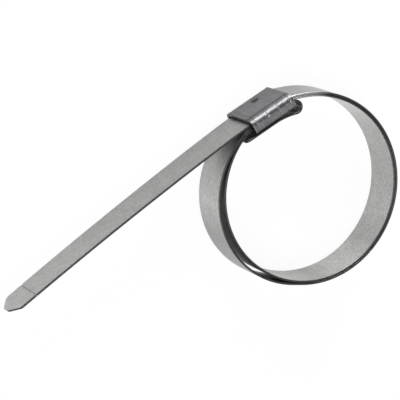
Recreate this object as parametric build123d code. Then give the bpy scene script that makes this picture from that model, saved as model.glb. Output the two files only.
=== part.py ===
from build123d import *
import os
from math import acos, asin, atan2, cos, degrees, radians, sin, sqrt

# Preformed double-wrap band clamp: one strip, wound twice round the hose, and one folded
# buckle that all of its passes run through. Millimetres and degrees.
# Origin: centre of the ring, halfway across the band. +Z is the ring's axis, +Y goes
# through the buckle's flat face, and the free tail runs towards -X.

# Band: a flat strip, rolled
bore_diameter = 63.5       # across the inner turn, the size the clamp is sold by
band_width = 15.875
band_thickness = 0.762
turn_gap = 0.06            # between neighbouring turns, and between the passes in the buckle
shoulder_radius = 9.5      # where the innermost pass bends out of the buckle into the ring
exit_radius = 4.0          # where the first turn ends and runs back into the buckle
foot_angle = 270.0         # the ring's lowest point, opposite the buckle, round from +X

# Slack: each turn stands off on the tail side, where it has not been drawn tight
slack_start = 1.223        # from the end of the shoulder's bend, round the ring
inner_slack_rise = 0.33
inner_slack_half_angle = 45.0
outer_slack_rise = 1.95
outer_slack_half_angle = 60.0

# Tail
tail_reach = 109.4         # from the ring's centre to the tip, along X
tongue_length = 10.1       # from the score line to the tip
droop_radius = 100.0       # the short bend where the tail leaves the buckle
droop_angle = 2.94
bow_radius = 1530.0        # the long, slight bow of the rest of the tail
tail_twist = 2.9           # from the buckle to the tip, the upper edge turning inwards
twist_sections = 5         # that the twisted tail is lofted through
tip_width = 4.6
tip_taper = 3.4            # how far back the tip's slanted sides start
tip_corner_radius = 1.8
score_width = 0.7
score_depth = 0.2

# Hook: the band's inner end, folded back under the buckle so that the buckle cannot slide off
hook_bend_radius = 1.76    # inside the fold
hook_drop = 0.9            # open space between the buckle and the folded-back strip
hook_sweep_radius = 24.0   # where the strip levels out again after the fold
hook_reach = 4.0           # how far the strip runs on past the buckle
hook_corner_radius = 1.6

# Buckle: a sleeve folded from thicker sheet, with its seam underneath
buckle_length = 17.15
buckle_width = 19.9
buckle_thickness = 1.0
buckle_bend_radius = 1.7   # outside the fold
buckle_shift = 0.4         # from the ring's centre plane towards the tail
buckle_rim_radius = 0.2
end_clearance = 0.15       # from each end of the buckle to the band's bend beside it
seat_gap = 0.05            # under the innermost pass
headroom = 0.45            # over the outermost pass
seam_gap = 0.3
groove_count = 4
groove_pitch = 4.65
groove_width = 0.55
groove_depth = 0.18
punch_mark_diameter = 3.6
punch_mark_depth = 0.4
punch_mark_x = 0.5
punch_mark_z = -4.2

# Levels of the three passes, measured to the middle of the strip
turn_pitch = band_thickness + turn_gap
turn_radius = (bore_diameter + band_thickness) / 2
tail_end_x = -buckle_length / 2 - buckle_shift
ring_end_x = buckle_length / 2 - buckle_shift
shoulder_x = tail_end_x - end_clearance
exit_x = ring_end_x + end_clearance
shoulder_reach = turn_radius - shoulder_radius
pass_level = shoulder_radius + sqrt(shoulder_reach**2 - shoulder_x**2)
shoulder_angle = degrees(acos((pass_level - shoulder_radius) / shoulder_reach))
top_pass_level = pass_level + 2 * turn_pitch

# Buckle levels
sleeve_bottom = pass_level - band_thickness / 2 - seat_gap - buckle_thickness
sleeve_top = top_pass_level + band_thickness / 2 + headroom + buckle_thickness
sleeve_height = sleeve_top - sleeve_bottom
sleeve_middle = (sleeve_top + sleeve_bottom) / 2


class BentStrip:
    """The strip seen edge on: walks along its middle line and draws both of its faces."""

    def __init__(self, x, y, heading):
        self.x = x
        self.y = y
        self.heading = heading
        self.left = []
        self.right = []

    def side_point(self, side):
        """The point on the left (1) or right (-1) face beside the middle line."""
        across = radians(self.heading + 90)
        half = side * band_thickness / 2
        return (self.x + half * cos(across), self.y + half * sin(across))

    def straight(self, length):
        starts = [self.side_point(1), self.side_point(-1)]
        self.x += length * cos(radians(self.heading))
        self.y += length * sin(radians(self.heading))
        self.left.append(Line(starts[0], self.side_point(1)))
        self.right.append(Line(starts[1], self.side_point(-1)))

    def bend(self, radius, turn):
        """An arc at the given radius of the middle line; a positive turn goes to the left."""
        hand = 1 if turn > 0 else -1
        across = radians(self.heading + 90 * hand)
        centre = (self.x + radius * cos(across), self.y + radius * sin(across))
        start_angle = self.heading - 90 * hand
        inner = radius - hand * band_thickness / 2
        outer = radius + hand * band_thickness / 2
        self.left.append(CenterArc(centre, inner, start_angle, turn))
        self.right.append(CenterArc(centre, outer, start_angle, turn))
        self.heading += turn
        away = radians(self.heading - 90 * hand)
        self.x = centre[0] + radius * cos(away)
        self.y = centre[1] + radius * sin(away)

    def face(self):
        start_cap = Line(self.left[0] @ 0, self.right[0] @ 0)
        end_cap = Line(self.left[-1] @ 1, self.right[-1] @ 1)
        return make_face(self.left + self.right + [start_cap, end_cap])


def walk_turn(strip, number, rise, half_angle):
    """One turn round the hose, counter-clockwise, from the buckle's tail end to its other end,
    and on through the buckle one pitch further out. Its slack is a smaller arc that stands out
    by the rise at its middle, joined on at each side by a straight run."""
    radius = turn_radius + (number - 1) * turn_pitch
    centre_offset = rise / (1 - cos(radians(half_angle)))
    slack_radius = radius - centre_offset * cos(radians(half_angle))
    tangent_length = centre_offset * sin(radians(half_angle))
    strip.bend(shoulder_radius + (number - 1) * turn_pitch, shoulder_angle)
    strip.bend(radius, slack_start)
    strip.straight(tangent_length)
    strip.bend(slack_radius, 2 * half_angle)
    strip.straight(tangent_length)
    slack_end = 90 + shoulder_angle + slack_start + 2 * half_angle
    strip.bend(radius, foot_angle - slack_end)

    # Round to where a straight run meets the bend into the next pass
    bend_radius = exit_radius + (number - 1) * turn_pitch
    bend_y = pass_level + number * turn_pitch - bend_radius
    bend_distance = sqrt(exit_x**2 + bend_y**2)
    spread = acos((radius - bend_radius) / bend_distance)
    last_angle = degrees(atan2(bend_y, exit_x) - spread)
    strip.bend(radius, 360 + last_angle - foot_angle)
    strip.straight(bend_distance * sin(spread))
    strip.bend(bend_radius, 90 - last_angle)
    strip.straight(exit_x - shoulder_x)


def end_waste(outline, end_frame, length):
    """What is trimmed off the strip's end to leave it with the given outline."""
    blank = Pos(-length / 2, 0) * Rectangle(2 * length, 2 * band_width)
    return extrude(end_frame * (blank - outline), amount=band_thickness, both=True)


def tip_outline():
    """The tongue's tip: a narrow flat end with long slanted sides, all corners rounded."""
    half = band_width / 2
    corners = [
        (-2 * tip_taper, -half - 1),
        (-2 * tip_taper, half + 1),
        (-tip_taper, half),
        (0, tip_width / 2),
        (0, -tip_width / 2),
        (-tip_taper, -half),
    ]
    outline = make_face(Polyline(*corners, close=True))
    front = outline.vertices().filter_by(lambda corner: corner.X > -1.5 * tip_taper)
    return fillet(front, tip_corner_radius)


def hook_outline():
    """The hook's free end: square, with its two corners rounded."""
    outline = Pos(-2 * hook_corner_radius, 0) * Rectangle(4 * hook_corner_radius, band_width)
    return fillet(outline.vertices().group_by(Axis.X)[-1], hook_corner_radius)


def tail_frame(strip):
    """Square to the tail's run: local X points outwards through the strip, local Y runs
    across its width, and both have turned by the tail's twist up to there."""
    run = Vector(cos(radians(strip.heading)), sin(radians(strip.heading)), 0)
    twist = tail_twist * (shoulder_x - strip.x) / (shoulder_x + tail_reach)
    outwards = Vector(run.Y, -run.X, 0).rotate(Axis((0, 0, 0), tuple(run)), -twist)
    return Plane(origin=(strip.x, strip.y, 0), x_dir=outwards, z_dir=run)


def score_cutter(frame):
    """A round-bottomed groove straight across the tail's outer face."""
    radius = (score_width**2 / 4 + score_depth**2) / (2 * score_depth)
    lift = band_thickness / 2 + radius - score_depth
    return frame * Pos(lift, 0) * Rot(X=90) * Cylinder(radius, 2 * band_width)


def build_tail(strip):
    """The free tail, from where the strip leaves the buckle to the tip of the tongue."""
    section = Rectangle(band_thickness, band_width)
    frames = [tail_frame(strip)]
    strip.bend(droop_radius, droop_angle)
    frames.append(tail_frame(strip))
    bow_reach = (strip.x + tail_reach) / bow_radius
    bow_angle = degrees(asin(sin(radians(droop_angle)) + bow_reach)) - droop_angle
    for number in range(1, twist_sections):
        strip.bend(bow_radius, bow_angle / (twist_sections - 1))
        frames.append(tail_frame(strip))
    tail = loft([frame * section for frame in frames])

    tip = frames[-1]
    flat_tip = Plane(origin=tip.origin, x_dir=tip.z_dir, z_dir=tip.x_dir)
    tail -= end_waste(tip_outline(), flat_tip, tip_taper)
    score_frame = Plane(
        origin=tip.origin - tip.z_dir * tongue_length,
        x_dir=tip.x_dir,
        z_dir=tip.z_dir,
    )
    return tail - score_cutter(score_frame)


def build_band():
    # Hook: from the free end under the buckle, round the fold and into the innermost pass
    fold_radius = hook_bend_radius + band_thickness / 2
    strip_level = sleeve_bottom - hook_drop - band_thickness / 2
    rise = strip_level - (pass_level - 2 * fold_radius)
    sweep_angle = degrees(acos(1 - rise / (fold_radius + hook_sweep_radius)))
    sweep_x = exit_x - (fold_radius + hook_sweep_radius) * sin(radians(sweep_angle))
    hook_tip_x = tail_end_x - hook_reach
    hook_frame = Plane(origin=(hook_tip_x, strip_level, 0), x_dir=(-1, 0, 0), z_dir=(0, 1, 0))
    strip = BentStrip(hook_tip_x, strip_level, 0)
    strip.straight(sweep_x - hook_tip_x)
    strip.bend(hook_sweep_radius, -sweep_angle)
    strip.bend(fold_radius, 180 + sweep_angle)

    # Innermost pass, the two turns with the passes that follow them, and the tail
    strip.straight(exit_x - shoulder_x)
    walk_turn(strip, 1, inner_slack_rise, inner_slack_half_angle)
    walk_turn(strip, 2, outer_slack_rise, outer_slack_half_angle)
    wound = extrude(strip.face(), amount=band_width / 2, both=True)
    wound -= end_waste(hook_outline(), hook_frame, hook_corner_radius)
    return wound + build_tail(strip)


def sleeve_section(inset):
    """The sleeve's outline across the passes, drawn inside its outer face by inset."""
    height = sleeve_height - 2 * inset
    width = buckle_width - 2 * inset
    return Pos(sleeve_middle, 0) * RectangleRounded(height, width, buckle_bend_radius - inset)


def along_buckle(section, start, length):
    """A section run along the passes, from start towards +X."""
    return extrude(Plane.YZ.offset(start) * section, amount=length)


def build_buckle():
    sleeve = along_buckle(sleeve_section(0), tail_end_x, buckle_length)
    sleeve = fillet(sleeve.edges().filter_by(Plane.YZ), buckle_rim_radius)
    sleeve -= along_buckle(sleeve_section(buckle_thickness), tail_end_x, buckle_length)
    seam = Pos((tail_end_x + ring_end_x) / 2, sleeve_bottom + buckle_thickness / 2, 0)
    sleeve -= seam * Box(2 * buckle_length, 1.5 * buckle_thickness, seam_gap)

    groove_ring = sleeve_section(0) - sleeve_section(groove_depth)
    for number in range(groove_count):
        from_middle = (number - (groove_count - 1) / 2) * groove_pitch
        start = -buckle_shift + from_middle - groove_width / 2
        sleeve -= along_buckle(groove_ring, start, groove_width)

    ball_radius = (punch_mark_diameter**2 / 4 + punch_mark_depth**2) / (2 * punch_mark_depth)
    ball_level = sleeve_top + ball_radius - punch_mark_depth
    sleeve -= Pos(punch_mark_x, ball_level, punch_mark_z) * Sphere(ball_radius)
    return sleeve


os.makedirs("parts", exist_ok=True)
export_step(build_band(), "parts/band.step")
export_step(build_buckle(), "parts/buckle.step")
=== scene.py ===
from math import acos, asin, atan2, ceil, cos, degrees, hypot, radians, sin, sqrt

import bmesh
import bpy
from mathutils import Matrix, Vector


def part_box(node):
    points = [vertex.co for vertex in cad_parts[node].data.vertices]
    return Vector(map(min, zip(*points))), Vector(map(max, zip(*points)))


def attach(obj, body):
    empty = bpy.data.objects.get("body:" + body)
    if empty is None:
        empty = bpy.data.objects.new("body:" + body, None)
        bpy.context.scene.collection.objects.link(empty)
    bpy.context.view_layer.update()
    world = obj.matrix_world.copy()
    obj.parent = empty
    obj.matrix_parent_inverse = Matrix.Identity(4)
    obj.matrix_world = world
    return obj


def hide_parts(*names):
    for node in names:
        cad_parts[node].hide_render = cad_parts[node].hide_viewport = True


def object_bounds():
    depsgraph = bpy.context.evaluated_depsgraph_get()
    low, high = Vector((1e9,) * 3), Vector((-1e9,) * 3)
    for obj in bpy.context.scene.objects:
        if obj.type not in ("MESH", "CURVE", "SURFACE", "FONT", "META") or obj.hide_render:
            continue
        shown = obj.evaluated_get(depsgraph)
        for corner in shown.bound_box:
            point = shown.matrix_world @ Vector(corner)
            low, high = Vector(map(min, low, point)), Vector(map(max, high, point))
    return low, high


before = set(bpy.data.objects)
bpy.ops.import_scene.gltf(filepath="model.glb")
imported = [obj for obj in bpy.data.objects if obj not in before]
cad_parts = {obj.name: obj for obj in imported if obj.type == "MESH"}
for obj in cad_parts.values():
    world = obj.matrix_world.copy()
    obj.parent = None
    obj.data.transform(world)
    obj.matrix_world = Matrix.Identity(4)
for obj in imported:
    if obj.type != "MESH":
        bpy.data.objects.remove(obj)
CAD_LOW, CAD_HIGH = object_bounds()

bl_info = {
    "name": "Band Hose Clamp",
    "version": (1, 0, 0),
    "blender": (4, 5, 0),
    "location": "3D View > Sidebar > Band Clamp",
    "description": "The finished pieces of a preformed band hose clamp, and a plain stage for it",
    "category": "Add Mesh",
}

MM = 0.001
Z_AXIS = Vector((0, 0, 1))
SAME_PLACE = 1e-7            # metres within which two points are one

# The strip's route, in millimetres and degrees
SHOULDER_RADIUS = 9.5        # where the innermost pass bends out of the buckle into the ring
EXIT_RADIUS = 4.0            # where the first turn ends and runs back into the buckle
FOOT_ANGLE = 270.0           # the ring's lowest point, opposite the buckle, round from +X
INNER_SLACK = (0.33, 160.0, 45.0)    # how far a turn stands off, in which direction, and how
OUTER_SLACK = (1.95, 175.0, 60.0)    # wide to each side
DROOP_RADIUS = 100.0         # the short bend where the tail leaves the buckle
DROOP_ANGLE = 2.94
BOW_RADIUS = 1530.0          # the long, slight bow of the rest of the tail
TAIL_TWIST = 2.9             # from the buckle to the tip, the upper edge turning inwards
HOOK_BEND_RADIUS = 1.76      # inside the fold
HOOK_DROP = 0.9              # open space between the buckle and the folded-back strip
HOOK_SWEEP_RADIUS = 24.0     # where the strip levels out again after the fold
HOOK_REACH = 4.0             # how far the strip runs on past the buckle
HOOK_CORNER_RADIUS = 1.6
TIP_WIDTH = 4.6
TIP_TAPER = 3.4              # how far back the tip's slanted sides start
TIP_CORNER_RADIUS = 1.8

# The buckle's details, in millimetres
SEAT_GAP = 0.05              # under the innermost pass
END_CLEARANCE = 0.15         # from each end of the buckle to the strip's bend beside it
RIM_RADIUS = 0.2             # outside, at each end
INNER_RIM = 0.08             # the narrow flat inside it
SEAM_GAP = 0.3
GROOVE_WIDTH = 0.55
GROOVE_DEPTH = 0.18
GROOVE_FLANK = 0.12          # how far each side of a groove slopes
GROOVE_TOP_SHARES = (0.8, 0.08, 0.35, 0.3)    # of its depth, what each has on the flat top
GROOVE_SIDE_SHARE = 0.2      # and what all have on the sides; it is full in the upper bends
MARK_X = 0.5
MARK_Z = -4.2

# How finely the pieces are divided
ARC_STEP = 2.0               # the widest step round a bend, in degrees
LONGEST_STEP = 2.5           # and the longest, in millimetres
SCORE_STEPS = 8              # across the score line
CORNER_CUTS = 9              # flats that round one corner of an end
EDGE_SEGMENTS = 4            # round each edge of the strip
BEND_SEGMENTS = 12           # round each bend of the buckle
RIM_SEGMENTS = 4             # round its rims
TOP_CUTS = 119               # across its top, for the punch mark
BOTTOM_CUTS = 3              # and across its bottom
MARK_STEP = 0.14             # from one column to the next under the punch mark
SHARP_ANGLE = 40.0           # past which two faces meet in a sharp edge
SQUARE_ANGLE = 60.0          # past which the strip's edge is rounded off

# How wide the patches of each pattern in the steel are, in millimetres. The lines, the grain,
# the tears and the mottle are really finer than 0.1 mm: too fine to show, so they are drawn as
# coarse as they need to.
LINE_SIZE = 0.5
LINE_STRETCH = (0.06, 1.0, 1.0)    # draws the lines out along the strip
GRAIN_SIZE = 0.9
CLOUD_SIZE = 5.0
TEAR_SIZE = 0.6
MOTTLE_SIZE = 0.9
SCUFF_SIZE = 3.5
FINER_SHARE = 0.6            # how much each finer layer of a pattern counts

# How much each pattern changes the tone and the roughness, and the relief of two of them
LINE_TONE = 0.15
GRAIN_TONE = 0.9
CLOUD_TONE = 0.4
TEAR_TONE = 0.35
MOTTLE_TONE = 1.5
SCUFF_TONE = 0.7
GRAIN_ROUGHNESS = 0.1
CLOUD_ROUGHNESS = 0.15
MOTTLE_ROUGHNESS = 0.3
LINE_RELIEF = 0.15
MOTTLE_RELIEF = 0.25
RELIEF_DEPTH = 0.02          # in millimetres
TORN_ROUGHNESS = 0.34        # of sheared steel as a whole

# Painted light and shade: how much brighter or darker the steel is drawn, each as a place in
# millimetres and the gain there
OUTER_PAINTED_LIGHT = (            # painted light and shade by the height up the ring, standing in for reflections and shadows
    (-22, 0.64), (-10, 0.85), (3, 1.0), (15, 1.6), (25, 1.2), (31, 0.92),
)
# the inner face's painted light and shade by height, lightest at the foot where it mirrors the
# floor
INNER_PAINTED_LIGHT = (
    (-31.6, 1.3), (-29.7, 1.0), (-25, 1.2), (-12, 1.1), (4, 1.13), (16, 1.45), (22, 1.3),
)
MOUTH_HIGHLIGHT = ((6.0, 4.0), (11.0, 0.0))        # a painted highlight on the edges, by distance from the buckle's mouth
SHADED_BORDER = ((7.5, 0.0), (7.68, 1.0))             # where the strip's borders with painted shade are, from its middle
CREASE_SHADE_AND_BEND_HIGHLIGHT = (             # across the buckle: a painted dark line of shade, and a painted highlight on the bend
    (5.3, 1.0), (6.1, 0.38), (6.8, 0.35), (7.4, 0.8), (8.0, 1.1), (9.5, 1.1), (9.85, 1.0),
)
PAINTED_PIT_SHADE = ((1.0, 0.25), (2.1, 1.0))        # painted shade in the punch mark's pit, by distance from its centre
TOP_GAIN = 4.0               # the highest of them all
TAIL_BORDER_SHADE = 0.2            # the painted shade of the strip's border on the tail
TURN_BORDER_SHADE = 0.45           # and on the turns
OUTER_HIGHLIGHT_SHARE = 0.5              # how much of a slit edge's painted highlight the outer face's border has too
INNER_HIGHLIGHT_SHARE = 0.0
BUCKLE_MOUTH = (11.0, 30.0, 8.0)    # where the upper edges of the turns leave the buckle

# The stage: lamps that face the clamp, each with its size, watts and place, and the camera
LAMPS = (
    ("soft_back", (0.6, 0.36), 6.8, (0.26, 0.58, 0.12)),
    ("soft_front", (0.9, 0.9), 2.8, (0.18, -0.44, 0.52)),
    ("soft_top", (0.5, 0.5), 5.0, (-0.28, 0.0, 0.75)),
)
FLOOR_HALF_WIDTH = 3.0       # in metres
FLOOR_GAP = 0.02             # under the clamp, in millimetres
FLOOR_SEEN = 0.93            # how much of its plain white the camera sees
FLOOR_MIRRORED = 0.6         # and how much the steel mirrors
CAMERA_PLACE = (-0.2120, 0.2803, 0.6173)
CAMERA_TURN = (-11.987, -24.643, -29.007)
CAMERA_LENS = 186.69


def linear(colour):
    """A hex sRGB colour, such as #8E9092, as linear RGBA."""
    values = [int(colour[i : i + 2], 16) / 255 for i in (1, 3, 5)]
    return [v / 12.92 if v <= 0.04045 else ((v + 0.055) / 1.055) ** 2.4 for v in values] + [1.0]


def add_node(tree, kind, settings=None, inputs=None):
    """A node with its settings. Each input, by name or number, is given a plain value, another
    node's first output, or a (node, output) pair."""
    node = tree.nodes.new(kind)
    for name, value in (settings or {}).items():
        setattr(node, name, value)
    for name, value in (inputs or {}).items():
        if isinstance(value, bpy.types.Node):
            value = (value, 0)
        if isinstance(value, tuple) and isinstance(value[0], bpy.types.Node):
            tree.links.new(value[0].outputs[value[1]], node.inputs[name])
        else:
            node.inputs[name].default_value = value
    return node


class ClampSizes(bpy.types.PropertyGroup):
    """The clamp's sizes, kept the same as the solids that it stands for."""

    bore: bpy.props.FloatProperty(
        name="Inside Diameter",
        description="Across the inner turn of the ring",
        default=63.5 * MM,
        unit="LENGTH",
    )
    band_width: bpy.props.FloatProperty(
        name="Band Width", description="Width of the strip", default=15.875 * MM, unit="LENGTH"
    )
    band_thickness: bpy.props.FloatProperty(
        name="Band Thickness",
        description="Thickness of the strip",
        default=0.762 * MM,
        unit="LENGTH",
    )
    turn_gap: bpy.props.FloatProperty(
        name="Turn Gap", description="Between neighbouring turns", default=0.06 * MM, unit="LENGTH"
    )
    edge_round: bpy.props.FloatProperty(
        name="Edge Rounding",
        description="Radius of the strip's rolled edges",
        default=0.25 * MM,
        unit="LENGTH",
    )
    tail_reach: bpy.props.FloatProperty(
        name="Tail Reach",
        description="From the ring's centre to the tip of the tail",
        default=-CAD_LOW.x,
        unit="LENGTH",
    )
    tongue_length: bpy.props.FloatProperty(
        name="Tongue Length",
        description="From the score line to the tip",
        default=10.1 * MM,
        unit="LENGTH",
    )
    score_width: bpy.props.FloatProperty(
        name="Score Width", description="Across the score line", default=0.7 * MM, unit="LENGTH"
    )
    score_depth: bpy.props.FloatProperty(
        name="Score Depth", description="Depth of the score line", default=0.2 * MM, unit="LENGTH"
    )
    upper_bend: bpy.props.FloatProperty(
        name="Upper Bends",
        description="Outside radius of the bends beside the buckle's flat face",
        default=2.3 * MM,
        unit="LENGTH",
    )
    lower_bend: bpy.props.FloatProperty(
        name="Lower Bends",
        description="Outside radius of the bends beside the buckle's seam",
        default=1.2 * MM,
        unit="LENGTH",
    )
    buckle_wall: bpy.props.FloatProperty(
        name="Buckle Wall",
        description="Thickness of the buckle's sheet",
        default=1.0 * MM,
        unit="LENGTH",
    )
    groove_count: bpy.props.IntProperty(
        name="Grooves", description="Pressed grooves round the buckle", default=4, min=0
    )
    groove_pitch: bpy.props.FloatProperty(
        name="Groove Pitch",
        description="From one groove to the next",
        default=4.65 * MM,
        unit="LENGTH",
    )
    mark_diameter: bpy.props.FloatProperty(
        name="Punch Mark", description="Across the punch mark", default=3.6 * MM, unit="LENGTH"
    )
    mark_depth: bpy.props.FloatProperty(
        name="Punch Depth", description="Depth of the punch mark", default=0.4 * MM, unit="LENGTH"
    )


class ClampFinish(bpy.types.PropertyGroup):
    """The clamp's colours and surfaces."""

    outer_colour: bpy.props.StringProperty(
        name="Outer Face", description="Hex colour of the strip's outer face", default="#999998"
    )
    # The inner face is drawn lighter than the outer: painted light for the brighter reflections
    # inside the ring.
    inner_colour: bpy.props.StringProperty(
        name="Inner Face", description="Hex colour of the strip's inner face", default="#A4A4A2"
    )
    edge_colour: bpy.props.StringProperty(
        name="Cut Edges", description="Hex colour of the cut edges", default="#404040"
    )
    buckle_colour: bpy.props.StringProperty(
        name="Buckle Colour", description="Hex colour of the buckle's steel", default="#6C6C6E"
    )
    band_roughness: bpy.props.FloatProperty(
        name="Band Roughness",
        description="Roughness of the rolled strip",
        default=0.38,
        min=0,
        max=1,
        subtype="FACTOR",
    )
    buckle_roughness: bpy.props.FloatProperty(
        name="Buckle Roughness",
        description="Roughness of the pressed buckle",
        default=0.42,
        min=0,
        max=1,
        subtype="FACTOR",
    )


def finish_piece(obj):
    """Shades the piece smoothly between its sharp edges and hands it to the frame."""
    for polygon in obj.data.polygons:
        polygon.use_smooth = True
    obj.data.set_sharp_from_angle(angle=radians(SHARP_ANGLE))
    obj.modifiers.new("flat faces", "WEIGHTED_NORMAL").keep_sharp = True
    bpy.context.collection.objects.link(obj)
    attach(obj, "root")


def only(kind, geometry):
    """What is of one kind among the geometry that a mesh operator gives."""
    return [item for item in geometry if isinstance(item, kind)]


def with_borders(faces):
    """Faces with their edges and vertices, each once."""
    edges = [edge for face in faces for edge in face.edges]
    verts = [vert for face in faces for vert in face.verts]
    return list(dict.fromkeys(faces + edges + verts))


class StripWalk:
    """Draws the strip's middle surface: carries one line across the strip along its route."""

    def __init__(self, width, x, y):
        self.mesh = bmesh.new()
        self.along = self.mesh.verts.layers.float.new("along")
        self.start = Vector((x, y, 0))
        self.place = self.start
        self.heading = 0.0
        self.length = 0.0
        low = self.mesh.verts.new((x, y, -width / 2))
        high = self.mesh.verts.new((x, y, width / 2))
        self.line = [self.mesh.edges.new((low, high))]

    def direction(self, turned=0):
        """The way ahead, or one that is turned from it to the left."""
        angle = radians(self.heading + turned)
        return Vector((cos(angle), sin(angle), 0))

    def across(self):
        """The way across the strip where the walk stands, upwards."""
        low, high = sorted((vert.co for vert in self.line[0].verts), key=lambda at: at.z)
        return (high - low).normalized()

    def step(self, length, turn, twist=0):
        """One line further on, straight or round an arc; twist turns it about the route."""
        if turn:
            centre = self.place + self.direction(90) * (length / radians(turn))
            moved = bmesh.ops.spin(
                self.mesh,
                geom=self.line + [vert for edge in self.line for vert in edge.verts],
                cent=centre,
                axis=Z_AXIS,
                angle=radians(turn),
                steps=1,
                use_merge=False,
                use_duplicate=False,
            )["geom_last"]
            verts = only(bmesh.types.BMVert, moved)
            self.place = centre + Matrix.Rotation(radians(turn), 3, "Z") @ (self.place - centre)
        else:
            moved = bmesh.ops.extrude_edge_only(self.mesh, edges=self.line)["geom"]
            verts = only(bmesh.types.BMVert, moved)
            run = self.direction() * length
            bmesh.ops.translate(self.mesh, verts=verts, vec=run)
            self.place = self.place + run
        self.heading += turn
        self.length += length
        if twist:
            turning = Matrix.Rotation(radians(twist), 3, self.direction())
            bmesh.ops.rotate(self.mesh, verts=verts, cent=self.place, matrix=turning)
        for vert in verts:
            vert[self.along] = self.length
        edges = only(bmesh.types.BMEdge, moved)
        self.line = [edge for edge in edges if set(edge.verts) == set(verts)]

    def straight(self, length):
        """A straight run in one step."""
        self.step(length, 0)

    def bend(self, radius, turn, twist=0, steps=0):
        """An arc at the given radius of the middle line; a positive turn goes to the left."""
        length = radius * radians(abs(turn))
        steps = steps or max(ceil(abs(turn) / ARC_STEP), ceil(length / (LONGEST_STEP * MM)))
        for _ in range(steps):
            self.step(length / steps, turn / steps, twist / steps)

    def unroll(self):
        """Gives the faces a UV map in metres: how far along the strip, and how far across."""
        uv = self.mesh.loops.layers.uv.new("strip")
        for face in self.mesh.faces:
            for loop in face.loops:
                # Only the hook's end and what was cut at the tip have no distance of their own
                at_tip = loop.vert.co.x < self.place.x / 2
                run = loop.vert[self.along] or (self.length if at_tip else 0)
                loop[uv].uv = (run, loop.vert.co.z)


def strip_route(sizes):
    """The levels and places that the route is drawn from, worked out from the sizes."""
    buckle_low, buckle_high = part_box("buckle")
    turn_radius = (sizes.bore + sizes.band_thickness) / 2
    shoulder_x = buckle_low.x - END_CLEARANCE * MM
    reach = turn_radius - SHOULDER_RADIUS * MM
    pass_level = SHOULDER_RADIUS * MM + sqrt(reach**2 - shoulder_x**2)
    return {
        "turn_pitch": sizes.band_thickness + sizes.turn_gap,
        "turn_radius": turn_radius,
        "shoulder_x": shoulder_x,
        "exit_x": buckle_high.x + END_CLEARANCE * MM,
        "pass_level": pass_level,
        "shoulder_angle": degrees(acos((pass_level - SHOULDER_RADIUS * MM) / reach)),
        "sleeve_bottom": pass_level - sizes.band_thickness / 2 - SEAT_GAP * MM - sizes.buckle_wall,
        "hook_tip_x": buckle_low.x - HOOK_REACH * MM,
    }


def walk_hook(sizes, route):
    """Starts at the hook, folds it up and goes through the buckle for the first time. Gives the
    walk with the hook's own faces."""
    fold_radius = HOOK_BEND_RADIUS * MM + sizes.band_thickness / 2
    level = route["sleeve_bottom"] - HOOK_DROP * MM - sizes.band_thickness / 2
    rise = level - (route["pass_level"] - 2 * fold_radius)
    sweep_radius = HOOK_SWEEP_RADIUS * MM
    sweep_angle = acos(1 - rise / (fold_radius + sweep_radius))
    sweep_x = route["exit_x"] - (fold_radius + sweep_radius) * sin(sweep_angle)

    walk = StripWalk(sizes.band_width, route["hook_tip_x"], level)
    walk.straight(sweep_x - route["hook_tip_x"])
    hook_faces = list(walk.mesh.faces)
    walk.bend(sweep_radius, -degrees(sweep_angle))
    walk.bend(fold_radius, 180 + degrees(sweep_angle))
    walk.straight(route["exit_x"] - route["shoulder_x"])
    return walk, hook_faces


def walk_turn(walk, number, slack, route):
    """One turn round the hose, and on through the buckle one pitch further out."""
    further_out = (number - 1) * route["turn_pitch"]
    radius = route["turn_radius"] + further_out
    rise, direction, half_angle = slack
    centre_offset = rise * MM / (1 - cos(radians(half_angle)))
    slack_radius = radius - centre_offset * cos(radians(half_angle))
    tangent_length = centre_offset * sin(radians(half_angle))
    shoulder_angle = route["shoulder_angle"]
    walk.bend(SHOULDER_RADIUS * MM + further_out, shoulder_angle)
    walk.bend(radius, direction - half_angle - (90 + shoulder_angle))
    walk.straight(tangent_length)
    walk.bend(slack_radius, 2 * half_angle)
    walk.straight(tangent_length)
    walk.bend(radius, FOOT_ANGLE - (direction + half_angle))

    bend_radius = EXIT_RADIUS * MM + further_out
    bend_y = route["pass_level"] + number * route["turn_pitch"] - bend_radius
    bend_distance = hypot(route["exit_x"], bend_y)
    spread = acos((radius - bend_radius) / bend_distance)
    last_angle = degrees(atan2(bend_y, route["exit_x"]) - spread)
    walk.bend(radius, 360 + last_angle - FOOT_ANGLE)
    walk.straight(bend_distance * sin(spread))
    walk.bend(bend_radius, 90 - last_angle)
    walk.straight(route["exit_x"] - route["shoulder_x"])


def walk_tail(walk, sizes):
    """The tail: a short droop and one long slow bow that twists slightly, up to the score line,
    across it in fine steps, and on to the tip. Gives the score line's middle and the tongue."""
    droop = radians(DROOP_ANGLE)
    droop_length = DROOP_RADIUS * MM * droop
    bow_reach = walk.place.x - DROOP_RADIUS * MM * sin(droop) + sizes.tail_reach
    bow_angle = degrees(asin(sin(droop) + bow_reach / (BOW_RADIUS * MM))) - DROOP_ANGLE
    bow_length = BOW_RADIUS * MM * radians(bow_angle)
    twist_rate = TAIL_TWIST / (droop_length + bow_length)

    def bow(length, steps=0):
        turn = bow_angle * length / bow_length
        walk.bend(BOW_RADIUS * MM, turn, twist_rate * length, steps)

    walk.bend(DROOP_RADIUS * MM, DROOP_ANGLE, twist_rate * droop_length)
    bow(bow_length - sizes.tongue_length - sizes.score_width / 2)
    bow(sizes.score_width, SCORE_STEPS)
    score_place = walk.place - walk.direction() * sizes.score_width / 2
    before = set(walk.mesh.faces)
    bow(sizes.tongue_length - sizes.score_width / 2, 1)
    return score_place, [face for face in walk.mesh.faces if face not in before]


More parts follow.
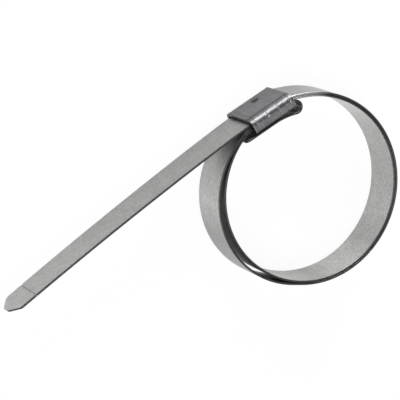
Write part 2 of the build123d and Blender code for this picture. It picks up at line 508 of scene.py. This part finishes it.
def round_corner(mesh, faces, place, ahead, across, corner, angles, radius):
    """Cuts a rounded corner on an end of the strip. The corner is a point (ahead, across) from
    the end's middle, between two sides that face the two angles, turned from ahead to across."""
    first, last = (radians(angle) for angle in angles)
    middle = (first + last) / 2
    inwards = radius / cos((last - first) / 2)
    centre_ahead = corner[0] - inwards * cos(middle)
    centre_across = corner[1] - inwards * sin(middle)
    centre = place + ahead * centre_ahead + across * centre_across
    for number in range(CORNER_CUTS + 1):
        angle = first + (last - first) * number / CORNER_CUTS
        facing = ahead * cos(angle) + across * sin(angle)
        cut = bmesh.ops.bisect_plane(
            mesh,
            geom=with_borders([face for face in faces if face.is_valid]),
            dist=SAME_PLACE,
            plane_co=centre + facing * radius,
            plane_no=facing,
            clear_outer=True,
        )
        faces = only(bmesh.types.BMFace, cut["geom"])
    return faces


def cut_hook_end(walk, faces, width):
    """The hook's end: square, with its two corners rounded."""
    ahead = Vector((-1, 0, 0))
    radius = HOOK_CORNER_RADIUS * MM
    for side in (1, -1):
        across = Z_AXIS * side
        corner = (0, width / 2)
        faces = round_corner(
            walk.mesh, faces, walk.start, ahead, across, corner, (0, 90), radius
        )


def cut_tip(walk, faces, ahead, across, width):
    """The tongue's tip: a narrow flat end with long slanted sides, all corners rounded."""
    radius = TIP_CORNER_RADIUS * MM
    slant = 90 - degrees(atan2(width / 2 - TIP_WIDTH * MM / 2, TIP_TAPER * MM))
    outer = (-TIP_TAPER * MM, width / 2)
    front = (0, TIP_WIDTH * MM / 2)
    for side in (1, -1):
        for corner, angles in ((outer, (90, slant)), (front, (slant, 0))):
            faces = round_corner(
                walk.mesh, faces, walk.place, ahead, across * side, corner, angles, radius
            )


def thicken(context, sheet, sizes):
    """Gives the middle surface the strip's thickness and rounds its edges."""
    blank = bpy.data.objects.new("band_blank", sheet)
    context.collection.objects.link(blank)
    solidify = blank.modifiers.new("thickness", "SOLIDIFY")
    solidify.thickness = sizes.band_thickness
    solidify.offset = 0
    solidify.use_even_offset = True
    solidify.material_offset = 1
    solidify.material_offset_rim = 2
    bevel = blank.modifiers.new("rolled edges", "BEVEL")
    bevel.width = sizes.edge_round
    bevel.segments = EDGE_SEGMENTS
    bevel.limit_method = "ANGLE"
    bevel.angle_limit = radians(SQUARE_ANGLE)
    bevel.use_clamp_overlap = False
    context.view_layer.update()
    solid = blank.evaluated_get(context.evaluated_depsgraph_get())
    data = bpy.data.meshes.new_from_object(solid)
    bpy.data.objects.remove(blank)
    return data


def press_score(data, place, ahead, across, sizes):
    """Lowers the strip's outer face to a round-bottomed groove straight across the tail."""
    outwards = ahead.cross(across).normalized()
    face_height = sizes.band_thickness / 2
    depth = sizes.score_depth
    radius = (sizes.score_width**2 / 4 + depth**2) / (2 * depth)
    for vert in data.vertices:
        offset = vert.co - place
        from_line = offset.dot(ahead)
        height = offset.dot(outwards)
        if abs(from_line) < sizes.score_width / 2 and 0 < height < sizes.band_thickness:
            floor = face_height - depth + radius - sqrt(radius**2 - from_line**2)
            vert.co -= outwards * max(0, height - floor)


class CLAMP_OT_band(bpy.types.Operator):
    """Make the rolled strip, from its hook under the buckle to the tip of its tail"""

    bl_idname = "clamp.band"
    bl_label = "Band"

    def execute(self, context):
        sizes = context.scene.clamp_sizes
        finish = context.scene.clamp_finish
        route = strip_route(sizes)
        walk, hook_faces = walk_hook(sizes, route)
        turns_start = walk.length
        walk_turn(walk, 1, INNER_SLACK, route)
        walk_turn(walk, 2, OUTER_SLACK, route)
        turns = (turns_start, walk.length)
        score_place, tongue = walk_tail(walk, sizes)

        ahead, across = walk.direction(), walk.across()
        cut_hook_end(walk, hook_faces, sizes.band_width)
        cut_tip(walk, tongue, ahead, across, sizes.band_width)
        bmesh.ops.recalc_face_normals(walk.mesh, faces=walk.mesh.faces)
        walk.unroll()
        sheet = bpy.data.meshes.new("band_sheet")
        walk.mesh.to_mesh(sheet)
        walk.mesh.free()

        outer, inner, dull = finish.outer_colour, finish.inner_colour, finish.band_roughness
        for material in (
            strip_steel("rolled_outer_face", outer, dull, OUTER_PAINTED_LIGHT, OUTER_HIGHLIGHT_SHARE, turns),
            strip_steel("rolled_inner_face", inner, dull, INNER_PAINTED_LIGHT, INNER_HIGHLIGHT_SHARE, turns),
            slit_edge(finish, turns),
        ):
            sheet.materials.append(material)
        data = thicken(context, sheet, sizes)
        press_score(data, score_place, ahead, across, sizes)
        band = bpy.data.objects.new("rolled_band", data)
        finish_piece(band)
        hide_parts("band")
        return {"FINISHED"}


class SleeveOutline:
    """The sleeve across the passes: a rectangle with its corners bent round."""

    def __init__(self, sizes, low, high):
        self.sizes = sizes
        self.middle_y = (low.y + high.y) / 2
        self.half_height = (high.y - low.y) / 2
        self.half_width = (high.z - low.z) / 2

    def draw(self, mesh, x):
        """Draws the outline once at x, finely divided across its flat top."""
        stand = Matrix(((0, 0, 1, x), (1, 0, 0, self.middle_y), (0, 1, 0, 0), (0, 0, 0, 1)))
        bmesh.ops.create_grid(mesh, x_segments=1, y_segments=1, size=1, matrix=stand)
        size = Vector((1, self.half_height, self.half_width))
        about = Matrix.Translation((-x, -self.middle_y, 0))
        bmesh.ops.scale(mesh, vec=size, space=about, verts=mesh.verts)
        upper = [vert for vert in mesh.verts if vert.co.y > self.middle_y]
        lower = [vert for vert in mesh.verts if vert.co.y < self.middle_y]
        for corners, radius in ((upper, self.sizes.upper_bend), (lower, self.sizes.lower_bend)):
            bmesh.ops.bevel(
                mesh,
                geom=corners,
                offset=radius,
                offset_type="OFFSET",
                segments=BEND_SEGMENTS,
                profile=0.5,
                affect="VERTICES",
                clamp_overlap=False,
                material=-1,
            )
        bmesh.ops.delete(mesh, geom=list(mesh.faces), context="FACES_ONLY")
        for edge in list(mesh.edges):
            first, last = (vert.co for vert in edge.verts)
            if abs(first.z - last.z) > self.half_width:
                cuts = TOP_CUTS if first.y > self.middle_y else BOTTOM_CUTS
                bmesh.ops.subdivide_edges(mesh, edges=[edge], cuts=cuts)

    def move(self, vert, x, inset, top_share):
        """Moves a vertex of the outline to x, in from the outer face by inset. A groove's inset
        is full in the upper bends; the flat top has its own share of it, and the sides theirs."""
        is_upper = vert.co.y > self.middle_y
        radius = self.sizes.upper_bend if is_upper else self.sizes.lower_bend
        flat_y = self.half_height - radius
        flat_z = self.half_width - radius
        y = vert.co.y - self.middle_y
        z = vert.co.z
        core_y = max(-flat_y, min(flat_y, y))
        core_z = max(-flat_z, min(flat_z, z))
        away = Vector((y - core_y, z - core_z)).normalized()
        if top_share is not None:
            upwards = max(0, away[0])
            share = GROOVE_SIDE_SHARE + (top_share - GROOVE_SIDE_SHARE) * upwards**2
            in_bend = 2 * upwards * abs(away[1])
            inset *= share + (1 - share) * in_bend**2
        away *= radius - inset
        vert.co = (x, self.middle_y + core_y + away[0], core_z + away[1])


def outside_columns(sizes, middle_x):
    """Where the outline stands between the rims: four times in each groove, and closely under
    the punch mark, except in a groove."""
    half = GROOVE_WIDTH * MM / 2
    half_floor = half - GROOVE_FLANK * MM
    depth = GROOVE_DEPTH * MM
    columns = []
    grooves = []
    for number in range(sizes.groove_count):
        x = middle_x + (number - (sizes.groove_count - 1) / 2) * sizes.groove_pitch
        share = GROOVE_TOP_SHARES[number % len(GROOVE_TOP_SHARES)]
        grooves.append((x - half, x + half))
        columns += [(x - half, 0, None), (x - half_floor, depth, share)]
        columns += [(x + half_floor, depth, share), (x + half, 0, None)]
    steps = ceil(sizes.mark_diameter / (MARK_STEP * MM))
    for step in range(steps + 1):
        x = MARK_X * MM + sizes.mark_diameter * (step / steps - 0.5)
        if not any(start < x < end for start, end in grooves):
            columns.append((x, 0, None))
    return sorted(columns, key=lambda column: column[0])


def wall_columns(sizes, low_x, high_x):
    """The sheet's outline along the passes: along the outside with its grooves, round the far
    rim, back along the inside and round the near rim. Each column is its x, its inset from the
    outer face and, in a groove, the share of that inset which it has on the flat top."""
    rim = RIM_RADIUS * MM
    inner_rim = INNER_RIM * MM
    wall = sizes.buckle_wall
    angles = [radians(90) * step / RIM_SEGMENTS for step in range(RIM_SEGMENTS + 1)]
    rounding = [(rim * (1 - sin(angle)), rim * (1 - cos(angle))) for angle in angles]
    columns = [(low_x + from_end, inset, None) for from_end, inset in reversed(rounding)]
    columns += outside_columns(sizes, (low_x + high_x) / 2)
    columns += [(high_x - from_end, inset, None) for from_end, inset in rounding]
    columns += [(high_x, wall - inner_rim, None), (high_x - inner_rim, wall, None)]
    columns += [(low_x + inner_rim, wall, None), (low_x, wall - inner_rim, None)]
    return columns + [(low_x, rim, None)]


def open_seam(mesh, middle_y):
    """Cuts the butt seam along the middle of the sleeve's bottom and closes its two walls."""
    half_gap = SEAM_GAP * MM / 2
    for z in (-half_gap, half_gap):
        bottom = [face for face in mesh.faces if face.calc_center_median().y < middle_y]
        bmesh.ops.bisect_plane(
            mesh,
            geom=with_borders(bottom),
            dist=SAME_PLACE,
            plane_co=(0, 0, z),
            plane_no=Z_AXIS,
        )
    middles = [(face, face.calc_center_median()) for face in mesh.faces]
    gap = [face for face, at in middles if at.y < middle_y and abs(at.z) < half_gap]
    bmesh.ops.delete(mesh, geom=gap, context="FACES")
    rims = [edge for edge in mesh.edges if edge.is_boundary]
    bmesh.ops.holes_fill(mesh, edges=rims, sides=0)
    bmesh.ops.recalc_face_normals(mesh, faces=mesh.faces)


def press_mark(mesh, sizes, top):
    """Presses the round-bottomed punch mark into the flat top."""
    depth = sizes.mark_depth
    radius = (sizes.mark_diameter**2 / 4 + depth**2) / (2 * depth)
    for vert in mesh.verts:
        away = hypot(vert.co.x - MARK_X * MM, vert.co.z - MARK_Z * MM)
        if vert.co.y > top - sizes.buckle_wall / 2 and away < sizes.mark_diameter / 2:
            vert.co.y = min(vert.co.y, top - depth + radius - sqrt(radius**2 - away**2))


class CLAMP_OT_buckle(bpy.types.Operator):
    """Make the folded sleeve that the strip's passes run through"""

    bl_idname = "clamp.buckle"
    bl_label = "Buckle"

    def execute(self, context):
        sizes = context.scene.clamp_sizes
        finish = context.scene.clamp_finish
        low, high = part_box("buckle")
        outline = SleeveOutline(sizes, low, high)
        mesh = bmesh.new()
        outline.draw(mesh, low.x)

        # Carry the outline along the outside, in over the rim, back inside and out again, where
        # the last one meets the first
        line = list(mesh.edges)
        for x, inset, top_share in wall_columns(sizes, low.x, high.x):
            moved = bmesh.ops.extrude_edge_only(mesh, edges=line)["geom"]
            line = only(bmesh.types.BMEdge, moved)
            for vert in {vert for edge in line for vert in edge.verts}:
                outline.move(vert, x, inset, top_share)
        bmesh.ops.remove_doubles(mesh, verts=mesh.verts, dist=SAME_PLACE)
        open_seam(mesh, outline.middle_y)
        press_mark(mesh, sizes, high.y)
        for face in mesh.faces:
            if all(min(v.co.x - low.x, high.x - v.co.x) < SAME_PLACE for v in face.verts):
                face.material_index = 1

        data = bpy.data.meshes.new("folded_buckle")
        mesh.to_mesh(data)
        mesh.free()
        data.materials.append(sheet_steel(finish, high.y))
        data.materials.append(cropped_end(finish))
        buckle = bpy.data.objects.new("folded_buckle", data)
        finish_piece(buckle)
        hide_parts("buckle")
        return {"FINISHED"}


def add_up(tree, start, *parts):
    """A plain value plus shares of several patterns, each centred on zero."""
    total = start
    for pattern, share in parts:
        offset = add_node(tree, "ShaderNodeMath", {"operation": "SUBTRACT"}, {0: pattern, 1: 0.5})
        total = add_node(
            tree, "ShaderNodeMath", {"operation": "MULTIPLY_ADD"}, {0: offset, 1: share, 2: total}
        )
    return total


def gain_along(tree, distance, marks):
    """A gain that follows a distance through the marks, each a distance in mm and its gain."""
    low, high = marks[0][0], marks[-1][0]
    level = add_node(
        tree,
        "ShaderNodeMapRange",
        inputs={"Value": distance, "From Min": low * MM, "From Max": high * MM},
    )
    ramp = add_node(tree, "ShaderNodeValToRGB", inputs={"Fac": level})
    elements = ramp.color_ramp.elements
    for _ in marks[2:]:
        elements.new(0.5)
    for element, (place, gain) in zip(elements, marks):
        element.position = (place - low) / (high - low)
        element.color = [gain / TOP_GAIN] * 3 + [1.0]
    share = add_node(tree, "ShaderNodeSeparateColor", inputs={"Color": ramp})
    return add_node(
        tree, "ShaderNodeMath", {"operation": "MULTIPLY"}, {0: (share, "Red"), 1: TOP_GAIN}
    )


def new_steel(name):
    """A bare metal material, with its tree, its shader and where a point is on the piece."""
    material = bpy.data.materials.new(name)
    material.use_nodes = True
    tree = material.node_tree
    shader = tree.nodes["Principled BSDF"]
    shader.inputs["Metallic"].default_value = 1.0
    return material, tree, shader, (add_node(tree, "ShaderNodeTexCoord"), "Object")


def patches(place, size, detail=3.0):
    """The inputs of a noise whose patches are about the given size across, in millimetres."""
    scale = 1 / (size * MM)
    return {"Vector": place, "Scale": scale, "Detail": detail, "Roughness": FINER_SHARE}


def tint(tree, shader, colour, *gains):
    """Gives the shader its colour, made lighter or darker by all of the gains."""
    tinted = linear(colour)[:3]
    for gain in gains:
        tinted = add_node(
            tree, "ShaderNodeVectorMath", {"operation": "SCALE"}, {0: tinted, "Scale": gain}
        )
    tree.links.new(tinted.outputs[0], shader.inputs["Base Color"])


def texture(tree, shader, roughness, height, relief):
    """Gives the shader its roughness, and the relief of a pattern."""
    bump = add_node(
        tree,
        "ShaderNodeBump",
        inputs={"Strength": relief, "Distance": RELIEF_DEPTH * MM, "Height": height},
    )
    tree.links.new(roughness.outputs[0], shader.inputs["Roughness"])
    tree.links.new(bump.outputs[0], shader.inputs["Normal"])


def painted_mouth_highlight(tree, where, run, turns):
    """A painted highlight: how much brighter the strip's edges are drawn where the turns leave the
    buckle.
    """
    mouth = tuple(value * MM for value in BUCKLE_MOUTH)
    away = add_node(tree, "ShaderNodeVectorMath", {"operation": "DISTANCE"}, {0: where, 1: mouth})
    past_hook = add_node(
        tree, "ShaderNodeMath", {"operation": "GREATER_THAN"}, {0: (run, "X"), 1: turns[0]}
    )
    return add_node(
        tree,
        "ShaderNodeMath",
        {"operation": "MULTIPLY"},
        {0: gain_along(tree, (away, "Value"), MOUTH_HIGHLIGHT), 1: past_hook},
    )


def painted_border_light(tree, where, run, highlight_share, turns):
    """Painted shade on the strip's borders, darkest on the tail, where it dims the lamp's
    highlight on the rounded edge; on the turns the painted highlight by the buckle's mouth is
    added."""
    off_middle = add_node(tree, "ShaderNodeMath", {"operation": "ABSOLUTE"}, {0: (run, "Y")})
    on_turns = add_node(
        tree, "ShaderNodeMath", {"operation": "LESS_THAN"}, {0: (run, "X"), 1: turns[1]}
    )
    painted_edge_light = add_node(
        tree,
        "ShaderNodeMath",
        {"operation": "MULTIPLY_ADD"},
        {0: painted_mouth_highlight(tree, where, run, turns), 1: highlight_share, 2: TURN_BORDER_SHADE},
    )
    turn_gain = add_node(
        tree, "ShaderNodeMath", {"operation": "MULTIPLY"}, {0: on_turns, 1: painted_edge_light}
    )
    gain = add_node(
        tree, "ShaderNodeMath", {"operation": "MAXIMUM"}, {0: turn_gain, 1: TAIL_BORDER_SHADE}
    )
    change = add_node(tree, "ShaderNodeMath", {"operation": "SUBTRACT"}, {0: gain, 1: 1.0})
    return add_node(
        tree,
        "ShaderNodeMath",
        {"operation": "MULTIPLY_ADD"},
        {0: gain_along(tree, off_middle, SHADED_BORDER), 1: change, 2: 1.0},
    )


def strip_steel(name, colour, roughness, light_by_height, highlight_share, turns):
    """Cold-rolled steel strip: bright metal dulled by the rolls to a fine matt grain, with faint
    lines drawn along it. Its tone carries painted light and shade by the height up the ring."""
    material, tree, shader, where = new_steel(name)
    on_strip = add_node(tree, "ShaderNodeUVMap", {"uv_map": "strip"})
    drawn_out = add_node(
        tree, "ShaderNodeMapping", inputs={"Vector": on_strip, "Scale": LINE_STRETCH}
    )
    lines = add_node(tree, "ShaderNodeTexNoise", inputs=patches(drawn_out, LINE_SIZE))
    grain = add_node(tree, "ShaderNodeTexNoise", inputs=patches(where, GRAIN_SIZE, 2.0))
    clouds = add_node(tree, "ShaderNodeTexNoise", inputs=patches(where, CLOUD_SIZE))
    height = (add_node(tree, "ShaderNodeSeparateXYZ", inputs={"Vector": where}), "Y")
    run = add_node(tree, "ShaderNodeSeparateXYZ", inputs={"Vector": on_strip})
    tint(
        tree,
        shader,
        colour,
        add_up(tree, 1.0, (grain, GRAIN_TONE), (clouds, CLOUD_TONE), (lines, LINE_TONE)),
        gain_along(tree, height, light_by_height),
        painted_border_light(tree, where, run, highlight_share, turns),
    )
    rough = add_up(tree, roughness, (clouds, CLOUD_ROUGHNESS), (grain, GRAIN_ROUGHNESS))
    texture(tree, shader, rough, lines, LINE_RELIEF)
    return material


def torn_steel(name):
    """Steel where it was sheared and not rolled: torn, dull and darker than the faces. Gives the
    material with its tree, its shader, where a point is and its tone."""
    material, tree, shader, where = new_steel(name)
    tears = add_node(tree, "ShaderNodeTexNoise", inputs=patches(where, TEAR_SIZE))
    shader.inputs["Roughness"].default_value = TORN_ROUGHNESS
    return material, tree, shader, where, add_up(tree, 1.0, (tears, TEAR_TONE))


def cropped_end(finish):
    """The buckle's ends, sheared off and left so."""
    material, tree, shader, _, tone = torn_steel("cropped_end")
    tint(tree, shader, finish.edge_colour, tone)
    return material


def slit_edge(finish, turns):
    """The strip's edges, slit and left so, with a painted highlight where the turns leave the
    buckle.
    """
    material, tree, shader, where, tone = torn_steel("slit_edge")
    uv = add_node(tree, "ShaderNodeUVMap", {"uv_map": "strip"})
    run = add_node(tree, "ShaderNodeSeparateXYZ", inputs={"Vector": uv})
    painted_edge_light = painted_mouth_highlight(tree, where, run, turns)
    edge_light_gain = add_node(tree, "ShaderNodeMath", {"operation": "ADD"}, {0: painted_edge_light, 1: 1.0})
    tint(tree, shader, finish.edge_colour, tone, edge_light_gain)
    return material


def sheet_steel(finish, top):
    """Pressed steel sheet: darker and smoother than the strip, scuffed and mottled by the dies,
    with painted shade in the punch mark's pit, a painted dark line of shade along the top and a
    painted highlight on the upper bends."""
    material, tree, shader, where = new_steel("pressed_sheet")
    mottle = add_node(tree, "ShaderNodeTexNoise", inputs=patches(where, MOTTLE_SIZE, 4.0))
    scuffs = add_node(tree, "ShaderNodeTexNoise", inputs=patches(where, SCUFF_SIZE))
    centre = (MARK_X * MM, top, MARK_Z * MM)
    away = add_node(tree, "ShaderNodeVectorMath", {"operation": "DISTANCE"}, {0: where, 1: centre})
    sideways = (add_node(tree, "ShaderNodeSeparateXYZ", inputs={"Vector": where}), "Z")
    tint(
        tree,
        shader,
        finish.buckle_colour,
        add_up(tree, 1.0, (mottle, MOTTLE_TONE), (scuffs, SCUFF_TONE)),
        gain_along(tree, (away, "Value"), PAINTED_PIT_SHADE),
        gain_along(tree, sideways, CREASE_SHADE_AND_BEND_HIGHLIGHT),
    )
    rough = add_up(tree, finish.buckle_roughness, (mottle, MOTTLE_ROUGHNESS))
    texture(tree, shader, rough, mottle, MOTTLE_RELIEF)
    return material


def add_lamp(name, size, power, place):
    """A soft square lamp that faces the clamp."""
    data = bpy.data.lights.new(name, "AREA")
    data.shape = "RECTANGLE"
    data.size, data.size_y = size
    data.energy = power
    lamp = bpy.data.objects.new(name, data)
    lamp.location = place
    lamp.rotation_euler = (-Vector(place)).to_track_quat("-Z", "Y").to_euler()
    bpy.context.collection.objects.link(lamp)


class CLAMP_OT_stage(bpy.types.Operator):
    """Make the floor, the light and the camera"""

    bl_idname = "clamp.stage"
    bl_label = "Stage"

    def execute(self, context):
        mesh = bmesh.new()
        level = Matrix.Translation((0, 0, CAD_LOW.z - FLOOR_GAP * MM))
        bmesh.ops.create_grid(
            mesh, x_segments=1, y_segments=1, size=FLOOR_HALF_WIDTH, matrix=level
        )
        data = bpy.data.meshes.new("floor")
        mesh.to_mesh(data)
        mesh.free()
        floor = bpy.data.objects.new("floor", data)
        context.collection.objects.link(floor)
        data.materials.append(self.floor_paper())
        self.light_world(context.scene)
        for lamp in LAMPS:
            add_lamp(*lamp)
        self.place_camera(context.scene)
        context.scene.view_settings.view_transform = "Standard"
        return {"FINISHED"}

    @staticmethod
    def floor_paper():
        """White paper: it takes a faint shadow, and is seen as plain white."""
        material = bpy.data.materials.new("white_paper")
        material.use_nodes = True
        tree = material.node_tree
        tree.nodes.remove(tree.nodes["Principled BSDF"])
        path = add_node(tree, "ShaderNodeLightPath")
        paper = add_node(tree, "ShaderNodeBsdfDiffuse", inputs={"Color": linear("#F4F4F4")})
        plain = add_node(tree, "ShaderNodeEmission", inputs={"Color": linear("#FFFFFF")})
        seen = add_node(
            tree,
            "ShaderNodeMath",
            {"operation": "MULTIPLY"},
            {0: (path, "Is Camera Ray"), 1: FLOOR_SEEN},
        )
        mirrored = add_node(
            tree,
            "ShaderNodeMath",
            {"operation": "MULTIPLY_ADD"},
            {0: (path, "Is Glossy Ray"), 1: FLOOR_MIRRORED, 2: seen},
        )
        both = add_node(tree, "ShaderNodeMixShader", inputs={0: mirrored, 1: paper, 2: plain})
        tree.links.new(both.outputs[0], tree.nodes["Material Output"].inputs["Surface"])
        return material

    @staticmethod
    def light_world(scene):
        """A grey room, a little darker overhead."""
        world = bpy.data.worlds.new("studio")
        scene.world = world
        world.use_nodes = True
        tree = world.node_tree
        where = add_node(tree, "ShaderNodeTexCoord")
        parts = add_node(tree, "ShaderNodeSeparateXYZ", inputs={"Vector": (where, "Generated")})
        ramp = add_node(tree, "ShaderNodeValToRGB", inputs={"Fac": (parts, "Z")})
        marks = ramp.color_ramp.elements
        marks[0].color = linear("#6E6E6E")
        marks[1].color = linear("#4A4A4A")
        tree.links.new(ramp.outputs[0], tree.nodes["Background"].inputs["Color"])

    @staticmethod
    def place_camera(scene):
        """Looks down on the clamp through a long lens, from the side of its tail."""
        data = bpy.data.cameras.new("camera")
        data.sensor_width = 36.0
        data.lens = CAMERA_LENS
        data.clip_start = 0.01
        data.clip_end = 10.0
        camera = bpy.data.objects.new("camera", data)
        camera.location = CAMERA_PLACE
        camera.rotation_euler = tuple(radians(angle) for angle in CAMERA_TURN)
        bpy.context.collection.objects.link(camera)
        scene.camera = camera


class CLAMP_PT_panel(bpy.types.Panel):
    """Sizes, finishes and the steps that make the clamp"""

    bl_idname = "CLAMP_PT_panel"
    bl_label = "Band Clamp"
    bl_space_type = "VIEW_3D"
    bl_region_type = "UI"
    bl_category = "Band Clamp"

    def draw(self, context):
        for group in (context.scene.clamp_sizes, context.scene.clamp_finish):
            box = self.layout.box()
            for name in group.bl_rna.properties.keys():
                if name not in ("rna_type", "name"):
                    box.prop(group, name)
        for operator in STEPS:
            self.layout.operator(operator.bl_idname)


STEPS = (CLAMP_OT_band, CLAMP_OT_buckle, CLAMP_OT_stage)
CLASSES = (ClampSizes, ClampFinish, *STEPS, CLAMP_PT_panel)


def register():
    for cls in CLASSES:
        bpy.utils.register_class(cls)
    bpy.types.Scene.clamp_sizes = bpy.props.PointerProperty(type=ClampSizes)
    bpy.types.Scene.clamp_finish = bpy.props.PointerProperty(type=ClampFinish)


def unregister():
    del bpy.types.Scene.clamp_finish
    del bpy.types.Scene.clamp_sizes
    for cls in reversed(CLASSES):
        bpy.utils.unregister_class(cls)


def main():
    register()
    bpy.ops.clamp.band()
    bpy.ops.clamp.buckle()
    bpy.ops.clamp.stage()


if __name__ == "__main__":
    main()
